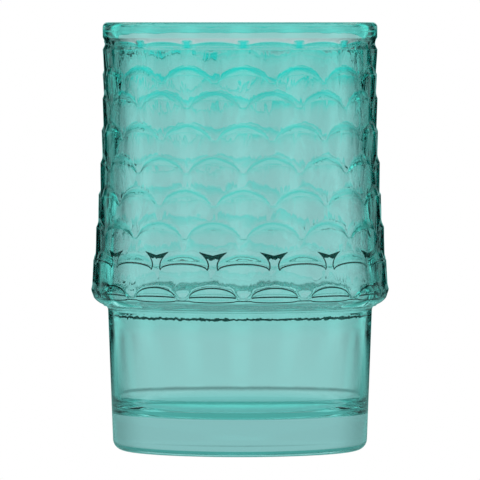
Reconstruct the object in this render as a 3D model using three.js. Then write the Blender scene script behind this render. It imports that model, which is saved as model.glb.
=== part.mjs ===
import * as THREE from 'three'

// A drinking glass pressed in one piece. It stands on z = 0 with its axis on Z. Millimetres.

// Overall sizes
const height = 114
const shoulderRadius = 40
const shoulderHeight = 43.8
const shoulderRounding = 5.2

// Upper body, which narrows from the shoulder to the neck under the lip
const flare = 3.9
const neckDrop = 12.2

// Lip
const lipBead = 0.5
const lipBeadHeight = 6.4
const lipThickness = 2.7

// Foot, below the shoulder
const overhang = 4.8
const footTaper = 1.3
const footFillet = 1.2
const heelRounding = 3
const standingRingWidth = 2.4
const pushUpDepth = 0.6

// Inside
const shoulderWall = 5
const footWall = 1.6
const floorInset = 1.5
const ledgeDrop = 3.4
const ledgeHeight = 4.6
const floorHeight = 9.8
const floorRounding = 5

// Scales on the upper body
const scaleColumns = 15
const patternTurn = 1.4
const fullRows = 7
const crowdedRows = 2
const crowdedPitch = 6.5
const lowestRowRise = 1.2
const topRowDrop = 4.8
const archRise = 4.5
const lowestRise = 3
const archSpread = 0.86
const scaleDepth = 0.6
const edgeWidth = 1.2

// Mesh
const stepsPerColumn = 6

// What follows from these
const neckRadius = shoulderRadius - flare
const neckHeight = height - neckDrop
const lipRadius = neckRadius + lipBead
const footTopRadius = shoulderRadius - overhang
const footBottomRadius = footTopRadius - footTaper
const ringOuter = footBottomRadius - heelRounding
const ringInner = ringOuter - standingRingWidth
const cavityMouthRadius = lipRadius - lipThickness
const cavityWideRadius = shoulderRadius - shoulderWall
const cavityFootRadius = footTopRadius - footWall
const cavityFloorRadius = footBottomRadius - floorInset
const ledgeTop = shoulderHeight - ledgeDrop
const ledgeBottom = ledgeTop - ledgeHeight
const lowestRow = shoulderHeight + lowestRowRise
const crowdedHeight = crowdedRows * crowdedPitch
const rowPitch = (height - topRowDrop - crowdedHeight - lowestRow) / (fullRows - 1)

const degrees = Math.PI / 180
const smooth = (t) => {
  const c = Math.min(1, Math.max(0, t))
  return c * c * (3 - 2 * c)
}

// Heights of the tops of the arches, lowest row first.
const rowTops = []
for (let i = 0; i < fullRows; i++) rowTops.push(lowestRow + i * rowPitch)
for (let i = 1; i <= crowdedRows; i++) {
  rowTops.push(lowestRow + (fullRows - 1) * rowPitch + i * crowdedPitch)
}

// Outside radius over the tops of the scales, from the shoulder's underside to the neck.
const shoulderCentre = shoulderRadius - shoulderRounding
const fullRadius = (z) => {
  if (z < shoulderHeight) {
    const down = shoulderHeight - z
    return shoulderCentre + Math.sqrt(shoulderRounding * shoulderRounding - down * down)
  }
  const t = Math.min(1, (z - shoulderHeight) / (neckHeight - shoulderHeight))
  const bead = smooth((z - height + lipBeadHeight) / 3)
  const neck = neckRadius + scaleDepth
  return neck + (shoulderRadius - neck) * (1 - t) * (1 - t) + (lipRadius - neck + scaleDepth) * bead
}

// The arch that starts a row's scales: how far below the row's top it lies at an angle,
// given in turns of one column. Alternate rows are shifted by half a column.
const archDrop = (row, column) => {
  const shifted = column - (row % 2 === 0 ? 0.5 : 0)
  const off = Math.min(1, (Math.abs(shifted - Math.round(shifted)) * 2) / archSpread)
  return (row === 0 ? lowestRise : archRise) * (1 - Math.sqrt(1 - off * off))
}
const archHeight = (row, column) => rowTops[row] - archDrop(row, column)

// How far a scale stands out. It is proud just under its arch and sinks back until the
// next row covers it. The lowest scales run out flush into the plain shoulder.
const scaleRelief = (column, z) => {
  for (let row = 0; row < rowTops.length; row++) {
    const below = archHeight(row, column) - z
    if (below > 1e-6) {
      const rise = smooth(below / edgeWidth)
      const sunk = Math.max(0, below - edgeWidth) / (2 * rowPitch)
      return scaleDepth * rise * (row === 0 ? 1 : 1 - Math.min(1, sunk))
    }
  }
  return 0
}

// Plain rings of the outside and inside are [radius, height].
const underside = []
const inside = []
const addArc = (rings, r, z, radius, from, to, count) => {
  for (let i = 0; i <= count; i++) {
    const a = (from + ((to - from) * i) / count) * degrees
    rings.push([r + radius * Math.cos(a), z + radius * Math.sin(a)])
  }
}

// Underside: push-up, standing ring, heel
underside.push([0, pushUpDepth])
underside.push([ringInner * 0.55, pushUpDepth * 0.9])
underside.push([ringInner * 0.94, pushUpDepth * 0.25])
underside.push([ringInner, 0])
addArc(underside, ringOuter, heelRounding, heelRounding, -90, 0, 4)

// Foot, up to the fillet under the shoulder, then the rounded underside of the shoulder
const shoulderBottom = shoulderHeight - shoulderRounding
const footTop = shoulderBottom - footFillet
for (let i = 1; i <= 3; i++) {
  const r = footBottomRadius + ((footTopRadius - footBottomRadius) * i) / 3
  underside.push([r, heelRounding + ((footTop - heelRounding) * i) / 3])
}
addArc(underside, footTopRadius + footFillet, footTop, -footFillet, -30, -90, 2)
for (const a of [-68, -54, -41]) {
  const z = shoulderHeight + shoulderRounding * Math.sin(a * degrees)
  underside.push([fullRadius(z), z])
}

// Rounded lip, then the inside wall, ledge and floor
const lipRound = lipThickness / 2
const lipLow = height - 4
addArc(inside, lipRadius - lipRound, height - lipRound, lipRound, 0, 180, 6)
inside.push([cavityMouthRadius, lipLow])
for (let i = 1; i <= 4; i++) {
  const r = cavityMouthRadius + ((cavityWideRadius - cavityMouthRadius) * i) / 4
  inside.push([r, lipLow + ((ledgeTop - lipLow) * i) / 4])
}
for (let i = 1; i <= 4; i++) {
  const r = cavityWideRadius + (cavityFootRadius - cavityWideRadius) * smooth(i / 4)
  inside.push([r, ledgeTop + ((ledgeBottom - ledgeTop) * i) / 4])
}
inside.push([(cavityFootRadius + cavityFloorRadius) / 2 + 0.1, 24])
const floorCentre = floorHeight + floorRounding
addArc(inside, cavityFloorRadius - floorRounding, floorCentre, floorRounding, 0, -90, 5)
inside.push([cavityFloorRadius * 0.5, floorHeight - 0.15])
inside.push([0, floorHeight - 0.2])

// Rings of the scaled body follow the arches, so that every arch has a crisp edge. Each row
// has a ring at the foot of its edge, one on its arch and one in the field above.
const scaled = []
for (let row = 0; row < rowTops.length; row++) {
  const edge = (share) => (column) => archHeight(row, column) - edgeWidth * share
  scaled.push(edge(1), edge(0))
  const next = row + 1 < rowTops.length
    ? (column) => archHeight(row + 1, column) - edgeWidth
    : () => lipLow
  for (const share of row + 1 < rowTops.length ? [0.5] : [0.5, 1]) {
    scaled.push((column) => archHeight(row, column) * (1 - share) + next(column) * share)
  }
}

// Turn the rings about Z.
const around = scaleColumns * stepsPerColumn
const plainRing = ([r, z]) => Array.from({ length: r === 0 ? 1 : around }, () => [r, z])
const scaledRing = (heightAt) => Array.from({ length: around }, (_, i) => {
  const column = i / stepsPerColumn
  const z = heightAt(column)
  return [fullRadius(z) - scaleDepth + scaleRelief(column, z), z]
})
const rings = [
  ...underside.map(plainRing),
  ...scaled.map(scaledRing),
  ...inside.map(plainRing)
]

const positions = []
const faces = []
const ringStart = []
for (const ring of rings) {
  ringStart.push(positions.length / 3)
  ring.forEach(([r, z], i) => {
    const angle = (patternTurn + (i * 360) / around) * degrees
    positions.push(r * Math.sin(angle), -r * Math.cos(angle), z)
  })
}
for (let k = 0; k + 1 < rings.length; k++) {
  const low = ringStart[k]
  const high = ringStart[k + 1]
  for (let i = 0; i < around; i++) {
    const j = (i + 1) % around
    if (rings[k].length === 1) faces.push(low, high + j, high + i)
    else if (rings[k + 1].length === 1) faces.push(low + i, low + j, high)
    else faces.push(low + i, low + j, high + j, low + i, high + j, high + i)
  }
}

const geometry = new THREE.BufferGeometry()
geometry.setAttribute('position', new THREE.Float32BufferAttribute(positions, 3))
geometry.setIndex(faces)
geometry.computeVertexNormals()

const glass = new THREE.Mesh(
  geometry,
  new THREE.MeshStandardMaterial({
    color: 0x7fc8c4,
    roughness: 0.05,
    transparent: true,
    opacity: 0.45
  })
)
glass.name = 'glass_tumbler'

const part = new THREE.Group()
part.name = 'tumbler'
part.add(glass)

export default part
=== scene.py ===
import math
from types import SimpleNamespace
import bpy
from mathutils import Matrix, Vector


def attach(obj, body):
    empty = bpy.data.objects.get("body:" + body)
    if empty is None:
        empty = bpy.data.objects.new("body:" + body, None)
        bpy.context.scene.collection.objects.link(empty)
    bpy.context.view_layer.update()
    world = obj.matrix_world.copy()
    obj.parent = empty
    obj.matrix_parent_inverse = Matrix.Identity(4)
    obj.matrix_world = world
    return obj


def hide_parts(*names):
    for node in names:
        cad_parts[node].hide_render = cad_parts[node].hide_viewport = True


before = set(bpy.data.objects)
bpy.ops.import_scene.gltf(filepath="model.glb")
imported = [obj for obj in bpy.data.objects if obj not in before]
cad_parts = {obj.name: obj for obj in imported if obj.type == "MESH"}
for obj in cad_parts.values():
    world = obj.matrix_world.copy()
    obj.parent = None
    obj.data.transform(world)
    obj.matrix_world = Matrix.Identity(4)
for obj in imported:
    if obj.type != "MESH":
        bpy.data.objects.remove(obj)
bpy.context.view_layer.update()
print("frame loaded")

mm = 0.001


# Short calls that add nodes to one tree and link or set their inputs.
def nodeWriter(tree):
    def wire(socket, value):
        if isinstance(value, bpy.types.NodeSocket):
            tree.links.new(value, socket)
        else:
            socket.default_value = value

    def add(kind, inputs=None, **settings):
        node = tree.nodes.new(kind)
        for name, value in settings.items():
            setattr(node, name, value)
        for key, value in (inputs or {}).items():
            wire(node.inputs[key], value)
        return node

    def calc(operation, *values, clamp=False):
        node = add("ShaderNodeMath", operation=operation, use_clamp=clamp)
        for socket, value in zip(node.inputs, values):
            wire(socket, value)
        return node.outputs[0]

    def plus(a, b):
        return calc("ADD", a, b)

    def minus(a, b):
        return calc("SUBTRACT", a, b)

    def times(first, *others):
        for other in others:
            first = calc("MULTIPLY", first, other)
        return first

    def over(a, b):
        return calc("DIVIDE", a, b)

    def most(first, *others):
        for other in others:
            first = calc("MAXIMUM", first, other)
        return first

    def least(a, b):
        return calc("MINIMUM", a, b)

    def above(a, b):
        return calc("GREATER_THAN", a, b)

    def below(a, b):
        return calc("LESS_THAN", a, b)

    def absolute(a):
        return calc("ABSOLUTE", a)

    def clamped(a):
        return calc("ADD", a, 0, clamp=True)

    def mix(a, b, t):
        return plus(a, times(t, minus(b, a)))

    def eased(value, low, high):
        return add("ShaderNodeMapRange", {"Value": value, "From Min": low, "From Max": high},
                   interpolation_type="SMOOTHSTEP").outputs[0]

    def parts(vector):
        return add("ShaderNodeSeparateXYZ", {0: vector}).outputs

    def mixColour(factor, a, b):
        node = add("ShaderNodeMix", {0: factor, 6: a, 7: b}, data_type="RGBA")
        return node.outputs[2]

    return SimpleNamespace(
        add=add, calc=calc, plus=plus, minus=minus, times=times, over=over, most=most, least=least,
        above=above, below=below, absolute=absolute, clamped=clamped, mix=mix, eased=eased,
        parts=parts, mixColour=mixColour)


# The outline of the glass, from the underside to the lip and back down the inside.
outlineSizes = {
    "height": 114 * mm,
    "shoulderRadius": 40 * mm,
    "shoulderHeight": 43.8 * mm,
    "shoulderRounding": 5.2 * mm,
    "neckRadius": 35.8 * mm,
    "neckHeight": 101.8 * mm,
    "scalesEnd": 109.6 * mm,
    "lipRadius": 36.6 * mm,
    "lipBeadHeight": 6.4 * mm,
    "lipBeadRise": 3 * mm,
    "lipThickness": 2.7 * mm,
    "lipEdge": 4 * mm,             # how far the plain lip reaches down
    "footTopRadius": 35.2 * mm,
    "footBottomRadius": 33.9 * mm,
    "footFillet": 1.2 * mm,
    "filletAngles": (165, 92),
    "shoulderAngles": (-70, -36),
    "heelRounding": 3 * mm,
    "ringInner": 28.5 * mm,        # flat ring that the glass stands on
    "ringWidth": 1.2 * mm,
    "pushUpDepth": 0.6 * mm,
    "cavityWideRadius": 35 * mm,
    "ledgeRadius": 33.8 * mm,
    "cavityFootRadius": 33.6 * mm,
    "cavityFloorRadius": 32.4 * mm,
    "ledgeTop": 40.4 * mm,
    "ledgeBottom": 37.2 * mm,
    "raggedTop": 36.6 * mm,
    "raggedBottom": 35.9 * mm,
    "footWallTop": 34 * mm,
    "footWallMiddle": 25 * mm,
    "footWallBulge": 0.1 * mm,
    "floorHeight": 9.8 * mm,
    "floorRounding": 5 * mm,
    "floorDip": 0.1 * mm,
}

# The pressed scales.
scaleSizes = {
    "columns": 15,
    "stepsPerColumn": 24,
    "turn": math.radians(1.4),
    "fullRows": 7,
    "crowdedRows": 2,              # rows under the lip, closer together
    "crowdedPitch": 6.5 * mm,
    "lowestRow": 45 * mm,
    "rowPitch": 8.533 * mm,
    "archRise": 4.5 * mm,
    "lowestRise": 3 * mm,
    "topRise": 1.6 * mm,
    "archSpread": 0.86,
    "scaleDepth": 0.9 * mm,
    "sinkRows": 1.5,               # how many rows a scale sinks over
    "edgeWidth": 2 * mm,
    "edgeLeast": 0.45 * mm,
    "edgeCurve": 1.5,
    "pillow": 0.6,
    "grooveDepth": 0.2 * mm,
    "grooveWidth": 0.28 * mm,
    "grooveLeast": 0.5,
    "grooveRows": 2,
    "tabWidth": 2 * mm,
    "tabCore": 0.8 * mm,
    "tabTop": 109.4 * mm,
    "tabRise": 0.7 * mm,
    "tabHeight": 0.3 * mm,
    "waviness": 0.18 * mm,
    "waveScale": 300.0,
    "waveStretch": 0.5,
    "waveMiddle": 0.6,
    "waveDetail": 1.0,
    "waveDistortion": 0.5,
    "raggedness": 1.2 * mm,
    "raggedScale": 420.0,
    "raggedDetail": 3.0,
    "raggedRadius": 36 * mm,
    "mergeDistance": 0.01 * mm,
}
ringSpacing = {
    "ringsPerRow": 20,
    "crowding": 0.6,               # gathers the rings on the edges of the scales
}

# How strong the teal coat is over the glass, from 0 to 1.
coatSizes = {
    "floorCoat": 0.9,
    "underShoulder": 0.3,
    "underShoulderFade": 1 * mm,
    "lipFoot": 0.5,
    "lip": 0.6,
    "edgeRise": 5.0,
    "edgeFade": 0.6,
    "belowEdge": 0.4,
    "belowEdgeSpread": 1.1 * mm,
    "upperFrom": 74 * mm,
    "upperTo": 107 * mm,
    "upperCurve": 1.3,
    "upper": 0.3,
    "lowEdges": 0.9,
    "lowestEdges": 0.55,
    "lowestFrom": 48 * mm,
    "lowestTo": 56 * mm,
    "tab": 1.2,
    "footTop": 37 * mm,
    "footDarkening": 0.45,         # how much painted shade darkens the foot's sides, beside the scales' 1
}


def smooth(t):                       # eases from 0 to 1
    t = min(1, max(0, t))
    return t * t * (3 - 2 * t)


def arcPoints(r, z, radius, start, end, count):      # angles in degrees
    angles = [math.radians(start + (end - start) * i / count) for i in range(count + 1)]
    return [(r + radius * math.cos(a), z + radius * math.sin(a)) for a in angles]


def linePoints(start, end, count, ease=float):       # leaves the start out
    return [(start[0] + (end[0] - start[0]) * ease(i / count),
             start[1] + (end[1] - start[1]) * i / count) for i in range(1, count + 1)]


def makeOutline():
    s, c = outlineSizes, coatSizes
    points = []

    def put(places, coat=1, pool=0, ragged=0, rowPlace=-1):
        for r, z in places:
            points.append(((r, 0, z), rowPlace, coat, pool, ragged))

    # Underside, foot and the underside of the shoulder.
    footTop = s["shoulderHeight"] - s["shoulderRounding"] - s["footFillet"]
    outside = [(s["ringInner"] * share, s["pushUpDepth"] * (1 - share ** 3))
               for share in (0, 0.2, 0.4, 0.6, 0.8, 0.92)]
    outside += [(s["ringInner"], 0), (s["ringInner"] + s["ringWidth"], 0)]
    outside += arcPoints(s["footBottomRadius"] - s["heelRounding"], s["heelRounding"],
                         s["heelRounding"], -90, 0, 9)
    outside += linePoints((s["footBottomRadius"], s["heelRounding"]),
                          (s["footTopRadius"], footTop), 5)
    outside += arcPoints(s["footTopRadius"] + s["footFillet"], footTop,
                         s["footFillet"], *s["filletAngles"], 5)
    outside += arcPoints(s["shoulderRadius"] - s["shoulderRounding"], s["shoulderHeight"],
                         s["shoulderRounding"], *s["shoulderAngles"], 6)
    for r, z in outside:
        fade = smooth((z - footTop) / c["underShoulderFade"] + 1)
        put([(r, z)], pool=c["underShoulder"] * fade)

    # Rings of the scales: the tree gives them their places.
    for row in range(scaleSizes["fullRows"] + scaleSizes["crowdedRows"]):
        for i in range(ringSpacing["ringsPerRow"]):
            x = i / ringSpacing["ringsPerRow"]
            x -= math.sin(2 * math.pi * x) / (2 * math.pi) * ringSpacing["crowding"]
            put([(0, 0)], rowPlace=row + x)

    # Lip, where the coat ends.
    lipRound = s["lipThickness"] / 2
    lipLow = s["height"] - s["lipEdge"]
    put([(s["lipRadius"], lipLow)], pool=c["lipFoot"])
    lip = arcPoints(s["lipRadius"] - lipRound, s["height"] - lipRound, lipRound, 0, 180, 14)
    for i, place in enumerate(lip):
        put([place], coat=smooth(1 - (i - 5) / 5), pool=c["lip"])

    # Inside wall, ledge, ragged ring and floor.
    mouth = (s["lipRadius"] - s["lipThickness"], lipLow)
    ledgeTop = (s["cavityWideRadius"], s["ledgeTop"])
    raggedTop = (s["ledgeRadius"], s["raggedTop"])
    put([mouth] + linePoints(mouth, ledgeTop, 8), coat=0)
    put(linePoints(ledgeTop, (s["ledgeRadius"], s["ledgeBottom"]), 8, smooth), coat=0)
    put([raggedTop] + linePoints(raggedTop, (s["cavityFootRadius"], s["raggedBottom"]), 6, smooth),
        coat=0, ragged=1)
    middleRadius = (s["cavityFootRadius"] + s["cavityFloorRadius"]) / 2 + s["footWallBulge"]
    put([(s["cavityFootRadius"], s["footWallTop"]), (middleRadius, s["footWallMiddle"])], coat=0)
    corner = arcPoints(s["cavityFloorRadius"] - s["floorRounding"],
                       s["floorHeight"] + s["floorRounding"], s["floorRounding"], 0, -90, 9)
    for i, place in enumerate(corner):
        put([place], coat=c["floorCoat"] * smooth((i - 1) / 5))
    put([(s["cavityFloorRadius"] * share, s["floorHeight"] - s["floorDip"])
         for share in (0.75, 0.5, 0.25, 0)], coat=c["floorCoat"])

    mesh = bpy.data.meshes.new("glassOutline")
    mesh.from_pydata([point[0] for point in points], [], [])
    for place, name in enumerate(("rowPlace", "coat", "pool", "ragged"), start=1):
        values = mesh.attributes.new(name, "FLOAT", "POINT")
        values.data.foreach_set("value", [point[place] for point in points])
    return mesh


def socketName(key):
    return "".join(" " + letter if letter.isupper() else letter for letter in key).title()


def treeSizes():
    outlineKeys = ("height", "shoulderRadius", "shoulderHeight", "shoulderRounding", "neckRadius",
                   "neckHeight", "scalesEnd", "lipRadius", "lipBeadHeight", "lipBeadRise")
    return {**scaleSizes, **{key: outlineSizes[key] for key in outlineKeys}}


# The tree turns the outline round the axis and raises the scales on it.
def buildScaleTree():
    tree = bpy.data.node_groups.new("pressedScales", "GeometryNodeTree")
    face = tree.interface
    face.new_socket("Geometry", in_out="INPUT", socket_type="NodeSocketGeometry")
    face.new_socket("Geometry", in_out="OUTPUT", socket_type="NodeSocketGeometry")
    face.new_socket("Material", in_out="INPUT", socket_type="NodeSocketMaterial")
    for key, value in treeSizes().items():
        kind = "NodeSocketInt" if isinstance(value, int) else "NodeSocketFloat"
        face.new_socket(socketName(key), in_out="INPUT", socket_type=kind)
    n = nodeWriter(tree)
    given = n.add("NodeGroupInput").outputs
    size = {key: given[socketName(key)] for key in treeSizes()}
    c = coatSizes

    # A grid with one row of points for each point of the outline.
    ringCount = n.add("GeometryNodeAttributeDomainSize",
                      {"Geometry": given["Geometry"]}).outputs["Point Count"]
    aroundAndSeam = n.plus(n.times(size["columns"], size["stepsPerColumn"]), 1)
    grid = n.add("GeometryNodeMeshGrid", {"Vertices X": ringCount, "Vertices Y": aroundAndSeam})
    index = n.add("GeometryNodeInputIndex").outputs[0]
    ring = n.calc("FLOOR", n.over(n.plus(index, 0.5), aroundAndSeam))
    step = n.minus(index, n.times(ring, aroundAndSeam))
    column = n.over(step, size["stepsPerColumn"])
    angle = n.plus(size["turn"], n.times(column, n.over(2 * math.pi, size["columns"])))

    def fromOutline(value, dataType="FLOAT"):
        node = n.add("GeometryNodeSampleIndex", data_type=dataType, domain="POINT")
        for key, source in (("Geometry", given["Geometry"]), ("Value", value), ("Index", ring)):
            tree.links.new(source, node.inputs[key])
        return node.outputs["Value"]

    def named(name):
        node = n.add("GeometryNodeInputNamedAttribute", {"Name": name}, data_type="FLOAT")
        return fromOutline(node.outputs["Attribute"])

    outlinePlace = n.parts(
        fromOutline(n.add("GeometryNodeInputPosition").outputs[0], "FLOAT_VECTOR"))
    rowPlace = named("rowPlace")
    onScales = n.above(rowPlace, -0.5)
    row = n.calc("FLOOR", rowPlace)
    rowAbove = n.plus(row, 1)
    rowCount = n.plus(size["fullRows"], size["crowdedRows"])
    onTopRow = n.above(rowAbove, n.minus(rowCount, 0.5))
    belowTopRow = n.minus(1, onTopRow)

    # One row at this column: its arch, its edge's width and foot, how full it is, how high.
    def archOf(rowNumber):
        lastFull = n.minus(size["fullRows"], 1)
        fullBelow = n.least(rowNumber, lastFull)
        crowdedBelow = n.most(n.minus(rowNumber, lastFull), 0)
        top = n.plus(size["lowestRow"], n.plus(n.times(fullBelow, size["rowPitch"]),
                                               n.times(crowdedBelow, size["crowdedPitch"])))
        shift = n.times(n.plus(rowNumber, 1), 0.5)
        fromMiddle = n.absolute(n.calc("WRAP", n.minus(column, shift), 0.5, -0.5))
        off = n.least(n.over(n.times(fromMiddle, 2), size["archSpread"]), 1)
        level = n.calc("SQRT", n.minus(1, n.times(off, off)))
        rise = n.mix(size["lowestRise"], size["archRise"], n.above(rowNumber, 1.5))
        rise = n.mix(rise, size["topRise"], n.above(rowNumber, n.minus(rowCount, 1.5)))
        arch = n.minus(top, n.times(rise, n.minus(1, level)))
        edge = n.plus(size["edgeLeast"], n.times(level, size["edgeWidth"]))
        fullness = n.minus(1, n.times(off, off, size["pillow"]))
        return SimpleNamespace(arch=arch, edge=edge, foot=n.minus(arch, edge),
                               fullness=fullness, level=level)

    own, nextUp = archOf(row), archOf(rowAbove)
    footAbove = n.mix(nextUp.foot, size["scalesEnd"], onTopRow)
    height = n.mix(own.foot, footAbove, n.minus(rowPlace, row))

    # Radius over the tops of the scales: a rounded shoulder, then a flare up to the neck.
    belowShoulder = n.most(n.minus(size["shoulderHeight"], height), 0)
    rounding = size["shoulderRounding"]
    roundedOut = n.minus(n.times(rounding, rounding), n.times(belowShoulder, belowShoulder))
    rounded = n.plus(n.minus(size["shoulderRadius"], rounding),
                     n.calc("SQRT", n.most(roundedOut, 0)))
    rising = n.clamped(n.over(n.minus(height, size["shoulderHeight"]),
                              n.minus(size["neckHeight"], size["shoulderHeight"])))
    falling = n.minus(1, rising)
    flared = n.mix(n.plus(size["neckRadius"], size["scaleDepth"]), size["shoulderRadius"],
                   n.times(falling, falling))
    beadStart = n.minus(size["height"], size["lipBeadHeight"])
    bead = n.eased(height, beadStart, n.plus(beadStart, size["lipBeadRise"]))
    flared = n.plus(flared, n.times(bead, n.minus(size["lipRadius"], size["neckRadius"])))
    full = n.mix(rounded, flared, n.above(height, size["shoulderHeight"]))

    # The scale above sinks towards this arch, and the edge climbs to this scale.
    sunk = n.clamped(n.over(n.minus(nextUp.foot, height),
                            n.times(size["rowPitch"], size["sinkRows"])))
    nextLevel = n.times(n.minus(1, sunk), belowTopRow, nextUp.fullness)
    ownLevel = n.mix(1, own.fullness, n.least(row, 1))
    onEdge = n.clamped(n.over(n.minus(own.arch, height), own.edge))
    relief = n.times(size["scaleDepth"],
                     n.mix(nextLevel, ownLevel, n.calc("POWER", onEdge, size["edgeCurve"])))

    # A fine groove marks the foot of the lowest edges.
    def grooveAt(rowNumber, scale):
        away = n.over(n.minus(height, scale.foot), size["grooveWidth"])
        fade = n.calc("EXPONENT", n.times(away, away, -1))
        inRows = n.below(rowNumber, n.minus(size["grooveRows"], 0.5))
        return n.times(fade, n.mix(size["grooveLeast"], 1, scale.level), inRows)

    groove = n.most(grooveAt(row, own), grooveAt(rowAbove, nextUp))

    # Small tabs stand in the gaps of the top row.
    columnWidth = n.over(n.times(full, 2 * math.pi), size["columns"])
    awayFromGap = n.times(n.absolute(n.calc("WRAP", column, 0.5, -0.5)), columnWidth)
    tab = n.times(n.eased(awayFromGap, size["tabWidth"], size["tabCore"]),
                  n.eased(height, size["tabTop"], n.minus(size["tabTop"], size["tabRise"])),
                  onTopRow)

    scaledRadius = n.plus(n.minus(full, size["scaleDepth"]), relief)
    scaledRadius = n.minus(scaledRadius, n.times(groove, size["grooveDepth"]))
    scaledRadius = n.plus(scaledRadius, n.times(tab, size["tabHeight"]))
    radius = n.mix(outlinePlace["X"], scaledRadius, onScales)
    level = n.mix(outlinePlace["Z"], height, onScales)

    # Slow waves in the pressed surface, and a ragged ring inside the foot.
    sine, cosine = n.calc("SINE", angle), n.calc("COSINE", angle)

    def onCircle(r, z):
        return n.add("ShaderNodeCombineXYZ", {
            "X": n.times(r, sine), "Y": n.times(r, cosine, -1), "Z": z}).outputs[0]

    waves = n.add("ShaderNodeTexNoise", {
        "Vector": onCircle(radius, n.times(level, size["waveStretch"])),
        "Scale": size["waveScale"], "Detail": size["waveDetail"],
        "Distortion": size["waveDistortion"]}).outputs[0]
    radius = n.plus(radius, n.times(n.minus(waves, size["waveMiddle"]), size["waviness"], onScales))
    ragged = n.add("ShaderNodeTexNoise", {
        "Vector": onCircle(size["raggedRadius"], 0),
        "Scale": size["raggedScale"], "Detail": size["raggedDetail"]}).outputs[0]
    level = n.plus(level, n.times(n.minus(ragged, 0.5), size["raggedness"], named("ragged")))
    shaped = n.add("GeometryNodeSetPosition", {
        "Geometry": grid.outputs["Mesh"], "Position": onCircle(radius, level)})

    # The coat is thicker towards the lip and pools on the edges of the scales.
    edgePool = n.times(n.calc("MULTIPLY", onEdge, c["edgeRise"], clamp=True),
                       n.minus(1, n.times(onEdge, c["edgeFade"])))
    belowFoot = n.least(n.over(n.minus(height, nextUp.foot), c["belowEdgeSpread"]), 0)
    belowFoot = n.times(n.calc("EXPONENT", belowFoot), belowTopRow, c["belowEdge"])
    high = n.add("ShaderNodeMapRange", {
        "Value": height, "From Min": c["upperFrom"], "From Max": c["upperTo"]}).outputs[0]
    thick = n.times(n.calc("POWER", high, c["upperCurve"]), c["upper"], belowTopRow)
    pooled = n.times(n.most(edgePool, belowFoot), n.mix(c["lowEdges"], 1, high))
    aboveLowest = n.eased(height, c["lowestFrom"], c["lowestTo"])
    pooled = n.times(pooled, n.mix(c["lowestEdges"], 1, aboveLowest))
    pooled = n.most(pooled, n.times(tab, c["tab"]))
    pool = n.clamped(n.plus(n.times(n.plus(thick, pooled), onScales), named("pool")))
    # Strength of the painted side shade: full on the scales, partial on the foot.
    inFoot = n.times(n.below(level, c["footTop"]), c["footDarkening"])
    pressed = n.clamped(n.plus(onScales, inFoot))

    geometry = shaped.outputs[0]
    for name, value in (("coat", named("coat")), ("pool", pool), ("pressed", pressed)):
        geometry = n.add("GeometryNodeStoreNamedAttribute", {
            "Geometry": geometry, "Name": name, "Value": value},
            data_type="FLOAT", domain="POINT").outputs[0]
    geometry = n.add("GeometryNodeMergeByDistance", {
        "Geometry": geometry, "Distance": size["mergeDistance"]}).outputs[0]
    geometry = n.add("GeometryNodeFlipFaces", {"Mesh": geometry}).outputs[0]
    geometry = n.add("GeometryNodeSetShadeSmooth", {
        "Geometry": geometry, "Shade Smooth": True}).outputs[0]
    geometry = n.add("GeometryNodeRealizeInstances", {"Geometry": geometry}).outputs[0]
    geometry = n.add("GeometryNodeSetMaterial", {
        "Geometry": geometry, "Material": given["Material"]}).outputs[0]
    n.add("NodeGroupOutput", {"Geometry": geometry})
    return tree


# Painted shade: dark lines drawn into the colour along the edges of the two lowest rows and along
# the ragged ring. Millimetres.
lineSizes = {
    "columnWidth": 16.2,
    "halfLine": 0.21,
    "scallopFoot": 49.2,
    "scallopRise": 1.7,
    "toothHalf": 1.45,             # half the gap between two scallops
    "hornHeight": 4.7,
    "hornSpread": 4.35,
    "hornTuck": 2.2,
    "wedgeStart": 3.0,
    "wedgeTop": 3.9,
    "wedgeSlope": 0.25,
    "wedgeRagged": 2.0,
    "eyeCorner": 42.0,
    "eyeRise": 2.6,
    "eyeHalf": 6.1,
    "rimRise": 0.3,
    "underDrop": 0.8,
    "underSag": 0.4,
    "underThinner": 0.7,
    "lipHeight": 113.8,
    "lipWidth": 0.3,
    "ringHeight": 36.2,
    "ringHalf": 0.34,
    "ringRagged": 1.5,
    "wobbleScale": 800.0,
    "wobbleDetail": 3.0,
}


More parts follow.
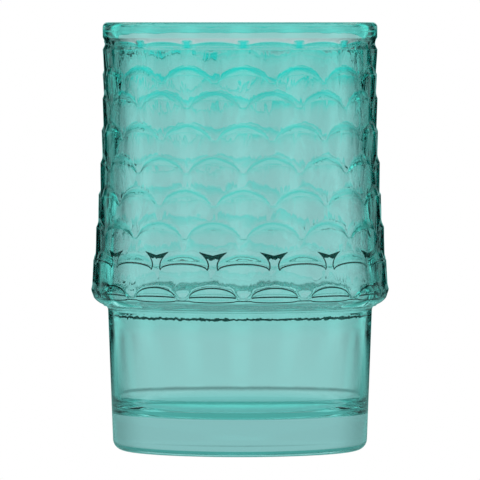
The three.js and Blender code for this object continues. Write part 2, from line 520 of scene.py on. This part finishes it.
def makeLineGroup():
    tree = bpy.data.node_groups.new("edgeLines", "ShaderNodeTree")
    for name in ("Edges", "Ring", "Lip"):
        tree.interface.new_socket(name, in_out="OUTPUT", socket_type="NodeSocketFloat")
    n = nodeWriter(tree)
    s = lineSizes

    def line(value, half, soft=0.6, softer=1.4):
        return n.eased(n.absolute(value), half * softer, half * soft)

    def bow(across):
        return n.calc("SQRT", n.most(n.minus(1, n.times(across, across)), 0))

    place = n.add("ShaderNodeTexCoord").outputs["Object"]
    split = n.parts(place)
    z = n.times(split["Z"], 1 / mm)
    angle = n.calc("ARCTAN2", split["X"], n.times(split["Y"], -1))
    column = n.times(n.minus(angle, scaleSizes["turn"]), scaleSizes["columns"] / (2 * math.pi))
    gap = n.times(n.absolute(n.calc("WRAP", n.minus(column, 0.5), 0.5, -0.5)), s["columnWidth"])
    noise = n.add("ShaderNodeTexNoise", {
        "Vector": place, "Scale": s["wobbleScale"], "Detail": s["wobbleDetail"]}).outputs[0]
    wobble = n.minus(noise, 0.5)

    # Painted shade lines along the scallops of the second row, with horned pockets between them and
    # a dark wedge filled in.
    half = s["columnWidth"] / 2
    scallopBow = bow(n.over(n.minus(half, gap), half - s["toothHalf"]))
    aboveFoot = n.minus(z, s["scallopFoot"])
    scallop = line(n.minus(aboveFoot, n.times(scallopBow, s["scallopRise"])), s["halfLine"])
    scallop = n.times(scallop, n.above(gap, s["toothHalf"]))
    up = n.over(aboveFoot, s["hornHeight"])
    reach = n.times(up, n.minus(n.times(up, s["hornSpread"]), s["hornTuck"]))
    reach = n.plus(s["toothHalf"], reach)
    horn = n.times(line(n.minus(gap, reach), s["halfLine"]), n.above(up, 0), n.below(up, 1))
    wedgeFoot = n.plus(s["wedgeStart"], n.times(wobble, s["wedgeRagged"]))
    wedgeTop = n.plus(s["wedgeTop"], n.times(gap, s["wedgeSlope"]))
    wedge = n.times(n.below(gap, reach), n.above(aboveFoot, wedgeFoot),
                    n.below(aboveFoot, wedgeTop))

    # Painted shade lines round the lens shapes of the lowest row, and the thin line under them.
    across = n.over(gap, s["eyeHalf"])
    inEye = n.below(across, 1)
    aboveCorner = n.minus(z, s["eyeCorner"])
    lid = line(n.minus(aboveCorner, n.times(bow(across), s["eyeRise"])), s["halfLine"])
    rim = line(n.minus(aboveCorner, n.times(bow(across), s["rimRise"])), s["halfLine"])
    eye = n.times(n.most(lid, rim), inEye)
    underPlace = n.plus(n.plus(aboveCorner, s["underDrop"]),
                        n.times(bow(across), inEye, s["underSag"]))
    under = line(underPlace, s["halfLine"] * s["underThinner"])

    ringPlace = n.minus(z, n.plus(s["ringHeight"], n.times(wobble, s["ringRagged"])))
    n.add("NodeGroupOutput", {
        "Edges": n.most(scallop, horn, wedge, eye, under),
        "Ring": line(ringPlace, s["ringHalf"], 0.8, 1.3),
        "Lip": n.eased(z, s["lipHeight"] - s["lipWidth"], s["lipHeight"])})
    return tree


# Faint waves, stronger on the scaled body than on the plain foot.
waveLooks = {
    "stretch": (1, 1, 0.4),
    "scale": 240.0,
    "detail": 2.0,
    "distortion": 0.8,
    "footStrength": 0.012,
    "bodyStrength": 0.16,
    "depth": 1 * mm,
}


def makeWaveGroup():
    tree = bpy.data.node_groups.new("pressedWaves", "ShaderNodeTree")
    tree.interface.new_socket("Body", in_out="INPUT", socket_type="NodeSocketFloat")
    tree.interface.new_socket("Normal", in_out="OUTPUT", socket_type="NodeSocketVector")
    n = nodeWriter(tree)
    looks = waveLooks
    body = n.add("NodeGroupInput").outputs["Body"]
    place = n.add("ShaderNodeTexCoord").outputs["Object"]
    stretched = n.add("ShaderNodeVectorMath", {0: place, 1: looks["stretch"]},
                      operation="MULTIPLY").outputs[0]
    waves = n.add("ShaderNodeTexNoise", {
        "Vector": stretched, "Scale": looks["scale"], "Detail": looks["detail"],
        "Distortion": looks["distortion"]}).outputs[0]
    strength = n.plus(looks["footStrength"], n.times(body, looks["bodyStrength"]))
    bump = n.add("ShaderNodeBump", {
        "Strength": strength, "Distance": looks["depth"], "Height": waves})
    n.add("NodeGroupOutput", {"Normal": bump.outputs[0]})
    return tree


# Teal glass: pale where thin, deep where the coat pools; painted shade along dark lines and at the
# sides, where the glass is seen at a slant.
glassLooks = {
    "pale": (0.455, 0.955, 0.93, 1),
    "deep": (0.006, 0.96, 0.83, 1),
    "base": (0.375, 0.81, 0.8, 1),
    "baseHeight": 9.9 * mm,
    "baseFade": 0.3 * mm,
    "clear": (1, 1, 1, 1),
    # Painted shade colour for the sides of the glass seen at a slant.
    "dark": (0.0008, 0.075, 0.062, 1),
    # Painted shade colour for the dark lines.
    "darkest": (0.0001, 0.004, 0.003, 1),
    "sideFrom": 0.3,
    "sideTo": 0.64,
    "lipFrom": 0.7,
    "lipTo": 0.95,
    "fadeFromInside": 0.9,
    "ior": 1.5,
}


def makeGlassMaterial():
    looks = glassLooks
    material = bpy.data.materials.new("tealGlass")
    material.use_nodes = True
    tree = material.node_tree
    n = nodeWriter(tree)
    shader = tree.nodes["Principled BSDF"]
    shader.inputs["Transmission Weight"].default_value = 1
    shader.inputs["IOR"].default_value = looks["ior"]
    shader.inputs["Roughness"].default_value = 0

    coat, pool, pressed = [n.add("ShaderNodeAttribute", attribute_name=name).outputs["Fac"]
                           for name in ("coat", "pool", "pressed")]
    facing = n.add("ShaderNodeLayerWeight", {"Blend": 0.5}).outputs["Facing"]
    fromInside = n.add("ShaderNodeNewGeometry").outputs["Backfacing"]
    place = n.parts(n.add("ShaderNodeTexCoord").outputs["Object"])
    lines = n.add("ShaderNodeGroup", node_tree=makeLineGroup()).outputs

    tint = n.mixColour(pool, looks["pale"], looks["deep"])
    inBase = n.eased(place["Z"], looks["baseHeight"] + looks["baseFade"], looks["baseHeight"])
    tint = n.mixColour(inBase, tint, looks["base"])
    # Painted shade: the tint goes dark where the glass is seen at a slant.
    sides = n.times(n.eased(facing, looks["sideFrom"], looks["sideTo"]), pressed)
    tint = n.mixColour(sides, tint, looks["dark"])
    # Painted shade: dark lines along the lowest edges, fainter seen from inside, and a dark line
    # along the top of the lip where it is seen at a slant.
    edgeLines = n.times(lines["Edges"], n.minus(1, n.times(fromInside, looks["fadeFromInside"])))
    lipLine = n.times(lines["Lip"], n.eased(facing, looks["lipFrom"], looks["lipTo"]))
    tint = n.mixColour(n.most(edgeLines, lipLine), tint, looks["darkest"])
    # Painted shade: a dark ragged ring on the inside wall.
    inner = n.mixColour(lines["Ring"], looks["clear"], looks["darkest"])
    tree.links.new(n.mixColour(coat, inner, tint), shader.inputs["Base Color"])

    onScales = n.above(pressed, 0.9)
    waves = n.add("ShaderNodeGroup", {"Body": onScales}, node_tree=makeWaveGroup())
    tree.links.new(waves.outputs["Normal"], shader.inputs["Normal"])
    return material


carrier = bpy.data.objects.new("glassCarrier", makeOutline())
bpy.context.scene.collection.objects.link(carrier)
print("outline made:", len(carrier.data.vertices), "points")

modifier = carrier.modifiers.new("scales", "NODES")
modifier.node_group = buildScaleTree()
modifierValues = {socketName(key): value for key, value in treeSizes().items()}
modifierValues["Material"] = makeGlassMaterial()
for item in modifier.node_group.interface.items_tree:
    if item.in_out == "INPUT" and item.name in modifierValues:
        modifier[item.identifier] = modifierValues[item.name]

evaluated = carrier.evaluated_get(bpy.context.evaluated_depsgraph_get())
glassMesh = bpy.data.meshes.new_from_object(evaluated)
glassMesh.name = "glassTumbler"
glass = bpy.data.objects.new("glassTumbler", glassMesh)
bpy.context.scene.collection.objects.link(glass)
bpy.data.objects.remove(carrier)
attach(glass, "root")
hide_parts("glass_tumbler")
print("glass made:", len(glassMesh.polygons), "faces")


# Pale floor and surrounding. Each brightness has its own value straight to the camera,
# through the glass, and after a reflection in it.
studio = {
    "seen": 1.0,
    "through": 0.64,               # level with the glass
    "throughSteep": 0.3,           # from overhead or from under it
    "reflected": 0.01,
    "reflectedBright": 1.0,
    "reflectedSteep": 0.42,
    "strips": 8,                   # soft bright strips round the glass
    "stripFrom": -0.3,
    "stripTo": 1.0,
    "softbox": 0.6,
    "lightColour": (1, 1, 1, 1),
    "reflectedColour": (0.4, 1, 0.93, 1),
}
skyHeights = {                     # how high a direction points, from 0 level to 1 overhead
    "steep": (0.15, 0.38),
    "reflectedSteep": (0.15, 0.4),
    "horizon": (0.09, 0.05),
    "softboxFoot": (0.45, 0.5),
    "softboxTop": (0.68, 0.62),
}
floorSizes = {
    "halfWidth": 40.0,
    "drop": 0.05 * mm,
    "steepOuter": (0.15, 0.11),    # painted shadow: ring of the floor that the base shows darker
    "steepInner": (0.07, 0.1),
    "reflectedSteep": (0.5, 0.12),
}


def studioBrightness(n, steep, reflectedSteep, angle):
    path = n.add("ShaderNodeLightPath").outputs
    wave = n.calc("COSINE", n.times(angle, studio["strips"]))
    shine = n.eased(wave, studio["stripFrom"], studio["stripTo"])
    through = n.mix(studio["through"], studio["throughSteep"], steep)
    reflected = n.mix(studio["reflected"], studio["reflectedBright"], shine)
    reflected = n.mix(reflected, studio["reflectedSteep"], reflectedSteep)
    afterReflection = n.above(path["Glossy Depth"], 0.5)
    level = n.mix(through, reflected, afterReflection)
    colour = n.mixColour(afterReflection, studio["lightColour"], studio["reflectedColour"])
    return n.mix(level, studio["seen"], path["Is Camera Ray"]), colour, afterReflection


def makeSurrounding():
    world = bpy.data.worlds.new("studioWorld")
    bpy.context.scene.world = world
    world.use_nodes = True
    n = nodeWriter(world.node_tree)
    background = world.node_tree.nodes["Background"]
    sky = n.parts(n.add("ShaderNodeTexCoord").outputs["Generated"])
    at = {name: n.eased(sky["Z"], *ends) for name, ends in skyHeights.items()}
    brightness, colour, afterReflection = studioBrightness(
        n, at["steep"], n.most(at["reflectedSteep"], at["horizon"]),
        n.calc("ARCTAN2", sky["X"], sky["Y"]))
    softbox = n.times(at["softboxFoot"], at["softboxTop"], afterReflection)
    brightness = n.plus(brightness, n.times(softbox, studio["softbox"]))
    colour = n.mixColour(softbox, colour, studio["lightColour"])
    world.node_tree.links.new(brightness, background.inputs["Strength"])
    world.node_tree.links.new(colour, background.inputs["Color"])


def makeFloor():
    half, level = floorSizes["halfWidth"], -floorSizes["drop"]
    mesh = bpy.data.meshes.new("floor")
    corners = [(x * half, y * half, level) for x, y in ((-1, -1), (1, -1), (1, 1), (-1, 1))]
    mesh.from_pydata(corners, [], [(0, 1, 2, 3)])
    floor = bpy.data.objects.new("floor", mesh)
    bpy.context.scene.collection.objects.link(floor)
    material = bpy.data.materials.new("paleFloor")
    material.use_nodes = True
    material.node_tree.nodes.clear()
    n = nodeWriter(material.node_tree)
    spot = n.parts(n.add("ShaderNodeTexCoord").outputs["Object"])
    away = n.calc("SQRT", n.plus(n.times(spot["X"], spot["X"]), n.times(spot["Y"], spot["Y"])))
    # Painted shadow: a darker ring of floor round the glass, seen through it.
    steep = n.times(n.eased(away, *floorSizes["steepOuter"]),
                    n.eased(away, *floorSizes["steepInner"]))
    brightness, colour, _ = studioBrightness(
        n, steep, n.eased(away, *floorSizes["reflectedSteep"]),
        n.calc("ARCTAN2", spot["X"], spot["Y"]))
    glow = n.add("ShaderNodeEmission", {"Strength": brightness, "Color": colour})
    n.add("ShaderNodeOutputMaterial", {"Surface": glow.outputs[0]})
    mesh.materials.append(material)


makeSurrounding()
makeFloor()
print("studio ready")

cameraView = {
    "distance": 1.733,
    "height": 113.8 * mm,
    "aimHeight": 55.95 * mm,
    "frameWidth": 128 * mm,
    "farEnd": 100,
}
cameraData = bpy.data.cameras.new("camera")
camera = bpy.data.objects.new("camera", cameraData)
bpy.context.scene.collection.objects.link(camera)
bpy.context.scene.camera = camera
camera.location = (0, -cameraView["distance"], cameraView["height"])
aim = Vector((0, 0, cameraView["aimHeight"])) - camera.location
camera.rotation_euler = aim.to_track_quat("-Z", "Y").to_euler()
cameraData.lens = cameraData.sensor_width * aim.length / cameraView["frameWidth"]
cameraData.clip_end = cameraView["farEnd"]
bpy.context.scene.view_settings.view_transform = "Standard"

bounces = {"all": 24, "transmission": 24, "glossy": 12}   # light has many walls to cross
bpy.context.scene.cycles.max_bounces = bounces["all"]
bpy.context.scene.cycles.transmission_bounces = bounces["transmission"]
bpy.context.scene.cycles.glossy_bounces = bounces["glossy"]
print("camera ready")
